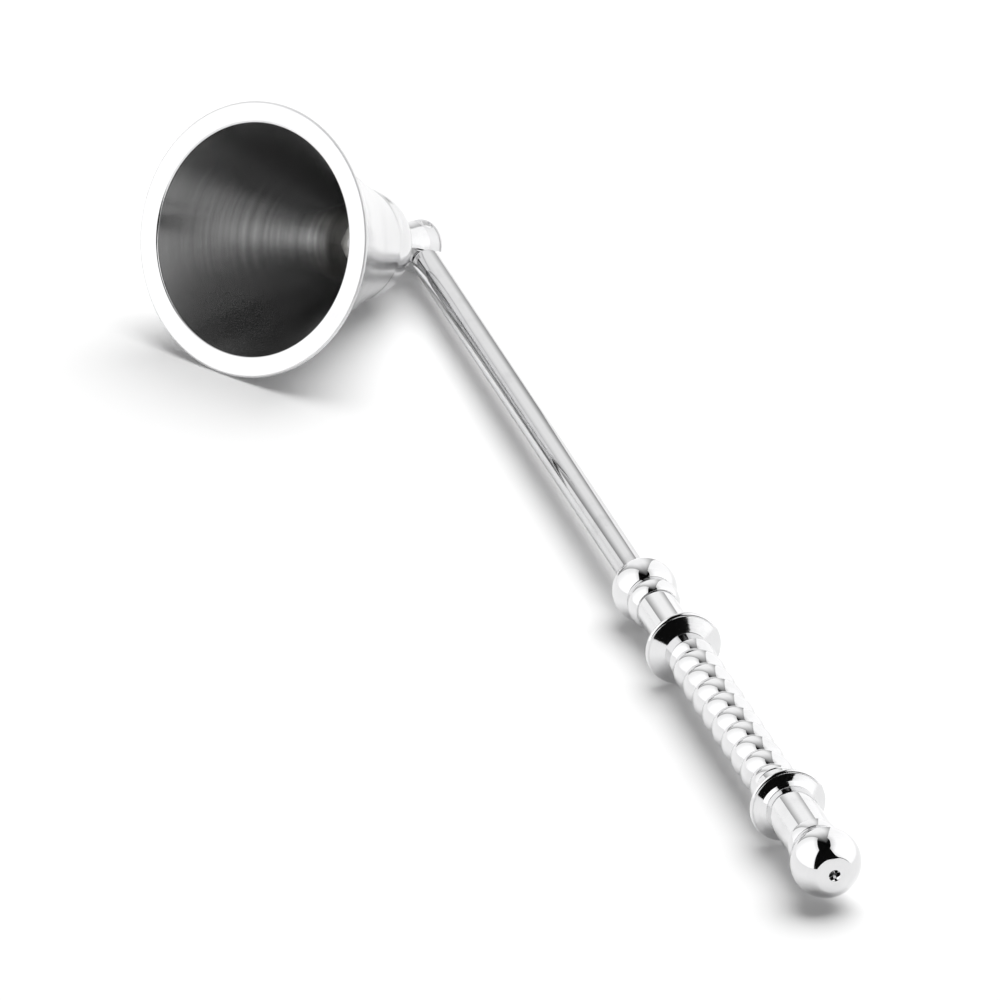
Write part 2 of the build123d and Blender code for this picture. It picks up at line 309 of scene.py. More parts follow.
def finish_edges(piece):
    """Smooth shading that keeps flat faces flat: sharp at steep edges, weighted by area elsewhere."""
    piece.data.shade_smooth()
    piece.data.set_sharp_from_angle(angle=SHARP_EDGE)
    weigh = piece.modifiers.new("weighted normals", "WEIGHTED_NORMAL")
    weigh.weight = 100
    weigh.keep_sharp = True
    graph = bpy.context.evaluated_depsgraph_get()
    mesh = bpy.data.meshes.new_from_object(piece.evaluated_get(graph))
    piece.modifiers.clear()
    piece.data = mesh


def adopt(piece, body, node):
    """The piece stands for a node of the model and moves with that node's body."""
    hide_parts(node)
    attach(piece, body)
    size = [round(v / MM, 1) for v in piece.dimensions]
    print(piece.name, "stands for", node, size, "mm,", len(piece.data.polygons), "faces")


print("edges stay sharp from", round(math.degrees(SHARP_EDGE)), "degrees")

# %% [markdown]
# ## Polish
#
# The whole snuffer has one bright plated finish, so it shows the room more than itself. What
# keeps it from looking like a computer's perfect mirror is small: faint rings left by the
# lathe, hair-thin marks from the polishing wheel that run round the work, and hazy smudges from
# handling. One node group makes these three from a position in the piece's own lathe frame, and
# each finish uses it with its own values.

# %% Polish marks group
def socket(group, name, kind, way, default=None):
    made = group.interface.new_socket(name, in_out=way, socket_type=kind)
    if default is not None:
        made.default_value = default


def math_node(nodes, links, operation, first, second=None):
    node = nodes.new("ShaderNodeMath")
    node.operation = operation
    for k, value in enumerate((first, second)):
        if value is None:
            continue
        if isinstance(value, (int, float)):
            node.inputs[k].default_value = value
        else:
            links.new(value, node.inputs[k])
    return node.outputs["Value"]


def polish_marks_group():
    group = bpy.data.node_groups.new("polish marks", "ShaderNodeTree")
    socket(group, "Lathe position", "NodeSocketVector", "INPUT")
    socket(group, "Rings per mm", "NodeSocketFloat", "INPUT", 2.0)
    socket(group, "Smudge size", "NodeSocketFloat", "INPUT", 6.0)
    socket(group, "Smudges", "NodeSocketFloat", "INPUT", 1.0)
    socket(group, "Roughness", "NodeSocketFloat", "INPUT", 0.04)
    socket(group, "Haze", "NodeSocketFloat", "INPUT", 0.04)
    socket(group, "Roughness", "NodeSocketFloat", "OUTPUT")
    socket(group, "Height", "NodeSocketFloat", "OUTPUT")
    socket(group, "Tone", "NodeSocketFloat", "OUTPUT")
    nodes, links = group.nodes, group.links
    given = nodes.new("NodeGroupInput")
    result = nodes.new("NodeGroupOutput")
    split = nodes.new("ShaderNodeSeparateXYZ")
    links.new(given.outputs["Lathe position"], split.inputs[0])
    across = nodes.new("ShaderNodeCombineXYZ")
    links.new(split.outputs["X"], across.inputs["X"])
    links.new(split.outputs["Y"], across.inputs["Y"])
    radius = nodes.new("ShaderNodeVectorMath")
    radius.operation = "LENGTH"
    links.new(across.outputs[0], radius.inputs[0])
    along = math_node(nodes, links, "ADD", split.outputs["Z"], radius.outputs["Value"])
    ring_place = math_node(nodes, links, "MULTIPLY", along, given.outputs["Rings per mm"])
    rings = nodes.new("ShaderNodeTexNoise")
    rings.noise_dimensions = "1D"
    rings.inputs["Scale"].default_value = 1.0
    rings.inputs["Detail"].default_value = 3.0
    links.new(ring_place, rings.inputs["W"])
    angle = math_node(nodes, links, "ARCTAN2", split.outputs["Y"], split.outputs["X"])
    hair_place = nodes.new("ShaderNodeCombineXYZ")
    links.new(math_node(nodes, links, "MULTIPLY", angle, 1.6), hair_place.inputs["X"])
    links.new(math_node(nodes, links, "MULTIPLY", along, 26.0), hair_place.inputs["Y"])
    hairs = nodes.new("ShaderNodeTexNoise")
    hairs.noise_dimensions = "2D"
    hairs.inputs["Scale"].default_value = 1.0
    hairs.inputs["Detail"].default_value = 2.0
    links.new(hair_place.outputs[0], hairs.inputs["Vector"])
    smudge_place = nodes.new("ShaderNodeVectorMath")
    smudge_place.operation = "DIVIDE"
    size = nodes.new("ShaderNodeCombineXYZ")
    for axis in "XYZ":
        links.new(given.outputs["Smudge size"], size.inputs[axis])
    links.new(given.outputs["Lathe position"], smudge_place.inputs[0])
    links.new(size.outputs[0], smudge_place.inputs[1])
    smudges = nodes.new("ShaderNodeTexNoise")
    smudges.inputs["Scale"].default_value = 1.0
    smudges.inputs["Detail"].default_value = 4.0
    smudges.inputs["Roughness"].default_value = 0.6
    links.new(smudge_place.outputs[0], smudges.inputs["Vector"])
    haze = nodes.new("ShaderNodeMapRange")
    haze.interpolation_type = "SMOOTHSTEP"
    haze.inputs["From Min"].default_value = 0.48
    haze.inputs["From Max"].default_value = 0.75
    links.new(smudges.outputs["Fac"], haze.inputs["Value"])
    fine = nodes.new("ShaderNodeMapRange")
    fine.inputs["From Min"].default_value = 0.35
    fine.inputs["From Max"].default_value = 0.7
    links.new(hairs.outputs["Fac"], fine.inputs["Value"])
    handled = math_node(nodes, links, "MULTIPLY", haze.outputs["Result"], given.outputs["Smudges"])
    hair_wear = math_node(nodes, links, "MULTIPLY", fine.outputs["Result"], 0.3)
    worn = math_node(nodes, links, "ADD", handled, hair_wear)
    spread = math_node(nodes, links, "MULTIPLY", worn, given.outputs["Haze"])
    links.new(math_node(nodes, links, "ADD", given.outputs["Roughness"], spread), result.inputs["Roughness"])
    hair_height = math_node(nodes, links, "MULTIPLY", hairs.outputs["Fac"], 0.25)
    links.new(math_node(nodes, links, "ADD", rings.outputs["Fac"], hair_height), result.inputs["Height"])
    links.new(worn, result.inputs["Tone"])
    return group


POLISH_MARKS = polish_marks_group()
print("polish marks:", [item.name for item in POLISH_MARKS.interface.items_tree])

# %% Finish helpers
def lathe_position(nodes, links, place):
    """Object coordinates turned into millimetres in a working frame."""
    coordinates = nodes.new("ShaderNodeTexCoord")
    mapping = nodes.new("ShaderNodeMapping")
    mapping.vector_type = "POINT"
    turn = place.to_3x3().transposed()
    mapping.inputs["Scale"].default_value = (1 / MM,) * 3
    mapping.inputs["Rotation"].default_value = turn.to_euler("XYZ")
    mapping.inputs["Location"].default_value = -(turn @ place.translation) / MM
    links.new(coordinates.outputs["Object"], mapping.inputs["Vector"])
    return mapping.outputs["Vector"]


def metal_finish(name, place, bright, dull, rings, smudge, roughness, haze, bump_mm, smudges=1.0):
    """Bare or plated metal: two near tones mixed by its wear, with lathe rings as a fine bump."""
    material = bpy.data.materials.new(name)
    material.use_nodes = True
    nodes, links = material.node_tree.nodes, material.node_tree.links
    surface = nodes["Principled BSDF"]
    surface.inputs["Metallic"].default_value = 1.0
    marks = nodes.new("ShaderNodeGroup")
    marks.node_tree = POLISH_MARKS
    marks.inputs["Rings per mm"].default_value = rings
    marks.inputs["Smudge size"].default_value = smudge
    marks.inputs["Smudges"].default_value = smudges
    marks.inputs["Roughness"].default_value = roughness
    marks.inputs["Haze"].default_value = haze
    links.new(lathe_position(nodes, links, place), marks.inputs["Lathe position"])
    tone = nodes.new("ShaderNodeMix")
    tone.name = "tone"
    tone.data_type = "RGBA"
    tone.inputs["A"].default_value = (*bright, 1)
    tone.inputs["B"].default_value = (*dull, 1)
    links.new(marks.outputs["Tone"], tone.inputs["Factor"])
    links.new(tone.outputs["Result"], surface.inputs["Base Color"])
    links.new(marks.outputs["Roughness"], surface.inputs["Roughness"])
    bump = nodes.new("ShaderNodeBump")
    bump.inputs["Strength"].default_value = 1.0
    bump.inputs["Distance"].default_value = bump_mm * MM
    links.new(marks.outputs["Height"], bump.inputs["Height"])
    links.new(bump.outputs["Normal"], surface.inputs["Normal"])
    return material


def brush_round(material, place, amount):
    """Stretches the shine across tool marks that run round a working frame's axis."""
    nodes, links = material.node_tree.nodes, material.node_tree.links
    surface = nodes["Principled BSDF"]
    surface.inputs["Anisotropic"].default_value = amount
    surface.inputs["Anisotropic Rotation"].default_value = 0.25
    coordinates = nodes.new("ShaderNodeTexCoord")
    outward = nodes.new("ShaderNodeVectorMath")
    outward.operation = "SUBTRACT"
    outward.inputs[1].default_value = place.translation
    links.new(coordinates.outputs["Object"], outward.inputs[0])
    around = nodes.new("ShaderNodeVectorMath")
    around.operation = "CROSS_PRODUCT"
    around.inputs[0].default_value = place.to_3x3().col[2]
    links.new(outward.outputs[0], around.inputs[1])
    straight = nodes.new("ShaderNodeVectorMath")
    straight.operation = "NORMALIZE"
    links.new(around.outputs[0], straight.inputs[0])
    links.new(straight.outputs[0], surface.inputs["Tangent"])


def paint_side_highlights(material, place, turn, deep):
    """A painted highlight on two sides of a turned inside: they take the second tone, in uneven rings.

    They lie turn degrees from the frame's Y towards its X, start faint at the mouth and are full from
    the depth given by deep."""
    nodes, links = material.node_tree.nodes, material.node_tree.links
    split = nodes.new("ShaderNodeSeparateXYZ")
    links.new(lathe_position(nodes, links, place), split.inputs[0])
    angle = math_node(nodes, links, "ARCTAN2", split.outputs["X"], split.outputs["Y"])
    turned = math_node(nodes, links, "SUBTRACT", angle, math.radians(turn))
    from_side = math_node(nodes, links, "ABSOLUTE", math_node(nodes, links, "COSINE", turned))
    side = math_node(nodes, links, "POWER", from_side, 6.0)
    rings = nodes.new("ShaderNodeTexNoise")
    rings.noise_dimensions = "1D"
    rings.inputs["Scale"].default_value = 1.1
    rings.inputs["Detail"].default_value = 4.0
    links.new(split.outputs["Z"], rings.inputs["W"])
    uneven = nodes.new("ShaderNodeMapRange")
    uneven.inputs["From Min"].default_value = 0.3
    uneven.inputs["From Max"].default_value = 0.7
    uneven.inputs["To Min"].default_value = 0.5
    links.new(rings.outputs["Fac"], uneven.inputs["Value"])
    depth = nodes.new("ShaderNodeMapRange")
    depth.inputs["From Max"].default_value = deep
    depth.inputs["To Min"].default_value = 0.1
    links.new(split.outputs["Z"], depth.inputs["Value"])
    painted_band = math_node(nodes, links, "MULTIPLY", side, depth.outputs["Result"])
    share = math_node(nodes, links, "MULTIPLY", painted_band, uneven.outputs["Result"])
    links.new(share, nodes["tone"].inputs["Factor"])


print("lathe frames in mm from", [round(c / MM, 1) for c in bell_frame.translation], "and the pin")

# %% Finishes
BRIGHT = (0.76, 0.76, 0.765)
BRIGHT_DULLED = (0.7, 0.7, 0.705)
# The rod's tones are the polish's tones darkened: painted shade in place of the shadowed floor that it
# reflects.
ROD_SHADED_BRIGHT = (0.64, 0.64, 0.645)
ROD_SHADED_DULLED = (0.58, 0.58, 0.585)
# The inside's base tone is far darker than the outside's: painted shade of the hollow.
INSIDE_PAINTED_SHADE = (0.25, 0.25, 0.25)
# Tone of the painted highlight on two sides of the bell's inside.
INSIDE_PAINTED_HIGHLIGHT = (0.95, 0.95, 0.95)
STEEL = (0.5, 0.49, 0.47)
STEEL_DULLED = (0.36, 0.35, 0.34)
FINE_MARKS = {"rings": 1.2, "haze": 0.05, "bump_mm": 0.0002}

handle_polish = metal_finish(
    "handle_polish", handle_frame, BRIGHT, BRIGHT_DULLED, smudge=6.0, roughness=0.03, **FINE_MARKS
)
disc_polish = metal_finish(
    "disc_polish", handle_frame, BRIGHT, BRIGHT_DULLED, rings=11.0, smudge=6.0, roughness=0.06, haze=0.08,
    bump_mm=0.003,
)
bell_polish = metal_finish(
    "bell_polish", bell_frame, BRIGHT, BRIGHT_DULLED, smudge=9.0, roughness=0.16, **FINE_MARKS
)
bell_edge = metal_finish(
    "bell_edge", bell_frame, BRIGHT, BRIGHT_DULLED, smudge=9.0, roughness=0.5, **FINE_MARKS
)
shaded_rod_polish = metal_finish(
    "shaded_rod_polish", handle_frame, ROD_SHADED_BRIGHT, ROD_SHADED_DULLED, smudge=6.0, roughness=0.03, **FINE_MARKS
)
bell_inside = metal_finish(
    "bell_inside", bell_frame, INSIDE_PAINTED_SHADE, INSIDE_PAINTED_HIGHLIGHT, rings=1.4, smudge=12.0, roughness=0.22, haze=0.1,
    bump_mm=0.0006, smudges=0.25,
)
brush_round(bell_inside, bell_frame, 0.9)
# Painted highlight: two sides of the inside take the brighter tone, in place of the shine along the tool
# marks.
paint_side_highlights(bell_inside, bell_frame, turn=18, deep=30.0)
plain_steel = metal_finish(
    "plain_steel", bell_frame, STEEL, STEEL_DULLED, rings=5.0, smudge=2.0, roughness=0.3, haze=0.2,
    bump_mm=0.004,
)
print("finishes:", [m.name for m in bpy.data.materials if m.use_nodes])

# %% [markdown]
# ## Bell
#
# The bell is one turned shell: a broad flat lip with a rounded edge, a hollow skirt and a round
# crown. Its outside is polished. The inside kept the rings of the turning tool. Its faces take a
# second finish, with a darker base tone that is painted shade of the hollow and a painted highlight
# on two sides in uneven rings, and the lip's rounded edge takes a softer one.

# %% Bell
LIP_RADIUS = 19.0
LIP_ROUND = 0.35
MOUTH_RADIUS = 16.0
MOUTH_ROUND = 0.4
WAIST = (8.0, 24.0)
CROWN_SEAT = (3.7, 31.8)
BELL_FLOOR = (4.3, 28.3)
STUD_HOLE = 1.6
SKIRT_HOLLOW = 0.75
CROWN_BULGE = 1.1

mouth_corner = MOUTH_ROUND * (1 - math.sqrt(0.5))
bell_profile = profile(
    (MOUTH_RADIUS, MOUTH_ROUND),
    (MOUTH_RADIUS + MOUTH_ROUND, 0, -mouth_corner),
    (LIP_RADIUS - LIP_ROUND, 0),
    (LIP_RADIUS - LIP_ROUND, 2 * LIP_ROUND, -LIP_ROUND),
    (*WAIST, SKIRT_HOLLOW),
    (*CROWN_SEAT, -CROWN_BULGE),
    (STUD_HOLE, CROWN_SEAT[1]),
    (STUD_HOLE, BELL_FLOOR[1]),
    BELL_FLOOR,
    (MOUTH_RADIUS, MOUTH_ROUND, -SKIRT_HOLLOW),
)
bell = turn_piece("bell_shell", bell_profile, bell_frame, bell_polish, 288)
print(bell.name, "has", len(bell.data.polygons), "faces")

# %% Finishes of the bell
to_bell = bell_frame.inverted()


def finish_where(piece, material, test):
    """Gives a finish to the faces whose middle passes a test of its radius and height in the bell's frame."""
    piece.data.materials.append(material)
    place = len(piece.data.materials) - 1
    count = 0
    for face in piece.data.polygons:
        middle = to_bell @ face.center / MM
        if test(math.hypot(middle.x, middle.y), middle.z):
            face.material_index = place
            count += 1
    print(piece.name, "has", count, "faces of", material.name)


def is_inside(r, z):
    wall = MOUTH_RADIUS + 0.05 - (MOUTH_RADIUS - BELL_FLOOR[0]) * max(z, 0) / BELL_FLOOR[1]
    return MOUTH_ROUND < z < BELL_FLOOR[1] + 0.01 and STUD_HOLE + 0.01 < r < wall


def is_lip_edge(r, z):
    return r > LIP_RADIUS - 0.5 and 0.02 < z < 1.0


finish_where(bell, bell_inside, is_inside)
finish_where(bell, bell_edge, is_lip_edge)
finish_edges(bell)
adopt(bell, "bell", "bell")

# %% [markdown]
# ## Knob, pin and rod end
#
# The knob on the crown is a small spool with a slot sawn down it. The rod's flat tongue sits in
# that slot and turns on a riveted pin. A slot isn't lathe work, so the knob and the rod's end
# start as turned blanks and a Boolean cuts them, as a saw and a drill would.

# %% Cutting helpers
def cutter_box(name, low, high, place):
    """A box from two corners in mm, in a working frame."""
    corners = [(x, y, z) for x in (low[0], high[0]) for y in (low[1], high[1]) for z in (low[2], high[2])]
    faces = [(0, 1, 3, 2), (4, 6, 7, 5), (0, 4, 5, 1), (2, 3, 7, 6), (0, 2, 6, 4), (1, 5, 7, 3)]
    mesh = bpy.data.meshes.new(name)
    mesh.from_pydata(corners, [], faces)
    mesh.transform(place @ Matrix.Scale(MM, 4))
    cutter = bpy.data.objects.new(name, mesh)
    bpy.context.scene.collection.objects.link(cutter)
    point_outwards(cutter)
    return cutter


def combine(piece, other, operation):
    """Joins, cuts or intersects a piece with another, which is used up."""
    modifier = piece.modifiers.new(operation.lower(), "BOOLEAN")
    modifier.operation = operation
    modifier.solver = "EXACT"
    modifier.object = other
    graph = bpy.context.evaluated_depsgraph_get()
    mesh = bpy.data.meshes.new_from_object(piece.evaluated_get(graph))
    piece.modifiers.clear()
    piece.data = mesh
    bpy.data.objects.remove(other)


pin_frame = working_frame(pivot, -mouth_way, pin_way)


def drill(name, radius, reach, material):
    """A round drill along the hinge pin's axis."""
    points = [(0, -reach), (radius, -reach), (radius, reach), (0, reach)]
    return turn_piece(name, profile(*points, edge=0), pin_frame, material, 50)


print("the drill points along", [round(c, 3) for c in pin_way])

# %% Bell knob
KNOB_FOOT = 31.8
FLARE = (3.7, 40.1)
FLARE_ROUND = 0.3
NECK = (2.9, 35.6)
SLOT_FOOT = 33.9
SLOT_WIDTH = 2.2
DOME_TOP = 42.0
STUD_RADIUS = 1.5
STUD_FOOT = 24.8
KNOB_SIDE_BULGE = -0.2
KNOB_TOP_BULGE = -0.38
PIN_HOLE = 0.91
PIN_HOLE_REACH = 4.3

edge_radius = FLARE[0] - FLARE_ROUND / 2
edge_rise = FLARE_ROUND * math.sqrt(0.75)
knob = turn_piece("knob_spool", profile(
    (0, STUD_FOOT),
    (STUD_RADIUS, STUD_FOOT),
    (STUD_RADIUS, KNOB_FOOT),
    (NECK[0], KNOB_FOOT),
    NECK,
    (edge_radius, FLARE[1] - edge_rise, KNOB_SIDE_BULGE),
    (edge_radius, FLARE[1] + edge_rise, -FLARE_ROUND / 2),
    (0, DOME_TOP, KNOB_TOP_BULGE),
), bell_frame, bell_polish, 162)
combine(knob, drill("pin_drill", PIN_HOLE, PIN_HOLE_REACH, bell_polish), "DIFFERENCE")
combine(knob, cutter_box(
    "slot", (-SLOT_WIDTH / 2, -9, SLOT_FOOT), (SLOT_WIDTH / 2, 9, DOME_TOP + 5), bell_frame
), "DIFFERENCE")
finish_where(knob, bell_edge, lambda r, z: r > FLARE[0] - 0.25)
finish_edges(knob)
adopt(knob, "bell", "bell_knob")

# %% Hinge pin
PIN_RADIUS = 0.9
PIN_REACH = 3.55
PIN_CHAMFER = 0.15
pin = turn_piece("rivet_pin", profile(
    (0, -PIN_REACH),
    (PIN_RADIUS - PIN_CHAMFER, -PIN_REACH),
    (PIN_RADIUS, -PIN_REACH + PIN_CHAMFER),
    (PIN_RADIUS, PIN_REACH - PIN_CHAMFER),
    (PIN_RADIUS - PIN_CHAMFER, PIN_REACH),
    (0, PIN_REACH),
    edge=0.04,
), pin_frame, bell_polish, 64)
finish_edges(pin)
adopt(pin, "bell", "hinge_pin")

# %% Washer and nut under the crown
WASHER_FOOT = 27.8
WASHER_RADIUS = 3.2
WASHER_HOLE = 1.6
washer = turn_piece("crown_washer", profile(
    (WASHER_HOLE, WASHER_FOOT),
    (WASHER_RADIUS, WASHER_FOOT),
    (WASHER_RADIUS, BELL_FLOOR[1]),
    (WASHER_HOLE, BELL_FLOOR[1]),
    (WASHER_HOLE, WASHER_FOOT),
    edge=0.06,
), bell_frame, plain_steel, 96)
finish_edges(washer)
adopt(washer, "bell", "knob_washer")

# %% Nut
NUT_FOOT = 25.4
NUT_FLATS = 5.5
NUT_BORE = 1.52
NUT_BORE_MOUTH = 1.8
NUT_BORE_CHAMFER = 0.25
NUT_CORNER_CHAMFER = 0.3
corner_reach = NUT_FLATS / math.sqrt(3)
nut_blank = corner_reach + 0.05
nut = turn_piece("crown_nut", profile(
    (NUT_BORE, NUT_FOOT + NUT_BORE_CHAMFER),
    (NUT_BORE_MOUTH, NUT_FOOT),
    (NUT_FLATS / 2 * 0.96, NUT_FOOT),
    (nut_blank, NUT_FOOT + NUT_CORNER_CHAMFER),
    (nut_blank, WASHER_FOOT),
    (NUT_BORE, WASHER_FOOT),
    (NUT_BORE, NUT_FOOT + NUT_BORE_CHAMFER),
    edge=0,
), bell_frame, plain_steel, 96)
hexagon_top = WASHER_FOOT + 0.001
hexagon = turn_piece("hexagon", profile(
    (0, NUT_FOOT - 1), (corner_reach, NUT_FOOT - 1), (corner_reach, hexagon_top), (0, hexagon_top), edge=0
), bell_frame, plain_steel, 6)
combine(nut, hexagon, "INTERSECT")
finish_edges(nut)
adopt(nut, "bell", "knob_nut")

# %% Rod
ROD_RADIUS = 2.0
TONGUE_LENGTH = 4.6
TONGUE_THICKNESS = 2.0
SHOULDER_ROUND = 1.3
ROD_END = 111.29
TANG_RADIUS = 1.5
TANG_END = 201.769
EYE_HOLE = 0.95
EYE_HOLE_REACH = 3.1

rod = turn_piece("rod_shank", profile(
    (0, TONGUE_LENGTH),
    (ROD_RADIUS - SHOULDER_ROUND, TONGUE_LENGTH),
    (ROD_RADIUS, TONGUE_LENGTH + SHOULDER_ROUND, -SHOULDER_ROUND * (1 - math.sqrt(0.5))),
    (ROD_RADIUS, ROD_END),
    (TANG_RADIUS, ROD_END),
    (TANG_RADIUS, TANG_END),
    (0, TANG_END),
    edge=0.05,
), handle_frame, shaded_rod_polish)
print(rod.name, "blank is", round(rod.dimensions.length / MM, 1), "mm from corner to corner")

# %% Tongue and eye of the rod
tongue = turn_piece("tongue", profile(
    (0, 0), (ROD_RADIUS, 0), (ROD_RADIUS, TONGUE_LENGTH + 0.3), (0, TONGUE_LENGTH + 0.3), edge=0,
), handle_frame, shaded_rod_polish, 160)
half = TONGUE_THICKNESS / 2
combine(tongue, cutter_box("flats", (-half, -9, -9), (half, 9, 30), handle_frame), "INTERSECT")
eye_frame = working_frame(pivot, handle_way, pin_way)
eye = turn_piece("eye", profile(
    (0, -half), (ROD_RADIUS, -half), (ROD_RADIUS, half), (0, half), edge=0
), eye_frame, shaded_rod_polish, 160)
combine(tongue, eye, "UNION")
combine(rod, tongue, "UNION")
combine(rod, drill("pin_bore", EYE_HOLE, EYE_HOLE_REACH, shaded_rod_polish), "DIFFERENCE")
finish_edges(rod)
adopt(rod, "handle", "rod")

# %% [markdown]
# ## Turned handle pieces
#
# Balls, beads, sleeves and discs are threaded on the rod's tang one after another. Each is its
# own profile, in order from the bell, so the crisp seams between them come from real gaps
# between rounded edges and not from drawn lines.

# %% Handle helpers
BORE = 1.55
STATION = {
    "ball_back": 116.45, "bead_back": 119.95, "sleeve_back": 131.9, "flange_back": 133.854,
    "ring_back": 136.504, "grip_back": 177.904, "rear_ring_back": 182.204, "rear_flange_back": 183.569,
    "step_back": 184.169, "rear_sleeve_back": 194.669, "rear_bead_back": 196.769,
}


def ball_bulge(radius, start, end):
    chord = math.dist(start, end)
    return -(radius - math.sqrt(radius ** 2 - chord ** 2 / 4))


def on_ball(radius, centre, r=None, z=None):
    """A point on a ball's profile, found from its radius from the axis (front half) or its height."""
    if z is None:
        return (r, centre - math.sqrt(radius ** 2 - r ** 2))
    return (math.sqrt(radius ** 2 - (z - centre) ** 2), z)


def handle_piece(name, node, points, edge=EDGE_ROUND, material=handle_polish):
    piece = turn_piece(name, profile(*points, edge=edge), handle_frame, material)
    finish_edges(piece)
    adopt(piece, "handle", node)


def tube(radius, bottom, top):
    return [(BORE, bottom), (radius, bottom), (radius, top), (BORE, top), (BORE, bottom)]


def bead(radius, drop, bottom, top):
    edge = radius - drop
    return [(BORE, bottom), (edge, bottom), (edge, top, -drop), (BORE, top), (BORE, bottom)]


def disc(bottom, hub, top, *more):
    """A disc with a round rim, flat below and coned above from the rim up to a hub."""
    rim = DISC_RADIUS - DISC_RIM / 2
    return [
        (BORE, bottom), (rim, bottom), (rim, bottom + DISC_RIM, -DISC_RIM / 2), (hub, top),
        *more, (BORE, more[-1][1] if more else top), (BORE, bottom),
    ]


print("handle seams at", list(STATION.values()), "mm from the pin")

# %% Front ball, bead, sleeve, disc and both rings
FRONT_BALL = (4.46, 113.55)
FRONT_BEAD = (3.62, 0.6)
FRONT_SLEEVE_RADIUS = 2.89
DISC_RADIUS = 5.3
DISC_RIM = 0.8
FRONT_RING_RADIUS = 2.98
REAR_RING_RADIUS = 3.3
SOCKET_RADIUS = 2.05

front_start = on_ball(*FRONT_BALL, r=SOCKET_RADIUS)
front_end = on_ball(*FRONT_BALL, z=STATION["ball_back"])
handle_piece("front_ball_turned", "front_ball", [
    (SOCKET_RADIUS, ROD_END), front_start, (*front_end, ball_bulge(FRONT_BALL[0], front_start, front_end)),
    (BORE, STATION["ball_back"]), (BORE, ROD_END), (SOCKET_RADIUS, ROD_END),
])
handle_piece("front_bead_turned", "front_bead", bead(*FRONT_BEAD, STATION["ball_back"], STATION["bead_back"]))
handle_piece("front_sleeve_turned", "front_sleeve", tube(
    FRONT_SLEEVE_RADIUS, STATION["bead_back"], STATION["sleeve_back"]
))
handle_piece("front_disc", "front_flange", disc(
    STATION["sleeve_back"], FRONT_RING_RADIUS, STATION["flange_back"]
), material=disc_polish)
handle_piece("front_ring", "front_grip_ring", tube(
    FRONT_RING_RADIUS, STATION["flange_back"], STATION["ring_back"]
))
handle_piece("rear_ring", "rear_grip_ring", tube(
    REAR_RING_RADIUS, STATION["grip_back"], STATION["rear_ring_back"]
))

# %% Rear disc, sleeve and bead
STEP_RADIUS = 3.96
REAR_SLEEVE_RADIUS = 3.52
REAR_BEAD = (3.72, 0.1)
handle_piece("rear_disc", "rear_flange", disc(
    STATION["rear_ring_back"], STEP_RADIUS, STATION["rear_flange_back"],
    (REAR_SLEEVE_RADIUS, STATION["step_back"]),
), material=disc_polish)
handle_piece("rear_sleeve_turned", "rear_sleeve", tube(
    REAR_SLEEVE_RADIUS, STATION["step_back"], STATION["rear_sleeve_back"]
))
handle_piece("rear_bead_turned", "rear_bead", bead(
    *REAR_BEAD, STATION["rear_sleeve_back"], STATION["rear_bead_back"]
))

# %% End ball
END_BALL = (4.84, 200.819)
END_FACE_RADIUS = 2.6
END_FACE = (END_FACE_RADIUS, END_BALL[1] + math.sqrt(END_BALL[0] ** 2 - END_FACE_RADIUS ** 2))
FACE_RISE = 0.3
FACE_BULGE = -0.03
MARK_RADIUS = 0.84
MARK_DEPTH = 0.7
PILOT_RADIUS = 0.35
PILOT_DEPTH = 0.6
TANG_BORE_END = TANG_END + 0.5
pole = END_FACE[1] + FACE_RISE
mark_floor = pole - MARK_DEPTH
pilot_floor = mark_floor - PILOT_DEPTH
end_start = on_ball(*END_BALL, z=STATION["rear_bead_back"])
mark_edge = (MARK_RADIUS, pole - FACE_RISE * (MARK_RADIUS / END_FACE[0]) ** 2)
handle_piece("end_ball_turned", "end_ball", [
    (BORE, STATION["rear_bead_back"]),
    end_start,
    (*END_FACE, ball_bulge(END_BALL[0], end_start, END_FACE)),
    (*mark_edge, FACE_BULGE),
    (PILOT_RADIUS, mark_floor),
    (PILOT_RADIUS, pilot_floor),
    (0, pilot_floor),
    (0, TANG_BORE_END),
    (BORE, TANG_BORE_END),
    (BORE, STATION["rear_bead_back"]),
], edge=0.05)

# %% [markdown]
# ## Rope-twist grip
#
# The grip is a single rounded rib that winds round the handle like a left-handed screw, with a
# narrow groove between turns. The rule is simple: at each place the rib's height depends only
# on how far round the turn that place is. So a Geometry Nodes tree takes a plain grid, rolls it
# into a tube and pushes every point to the radius that the rule gives.

# %% Rope-twist tree
TWIST = {
    "Length": 41.4, "Radius": 3.38, "Depth": 0.62, "Pitch": 4.625, "Fullness": 2.0, "Start": 0.0,
}
TWIST_STEPS = {"Along": 520, "Around": 97}


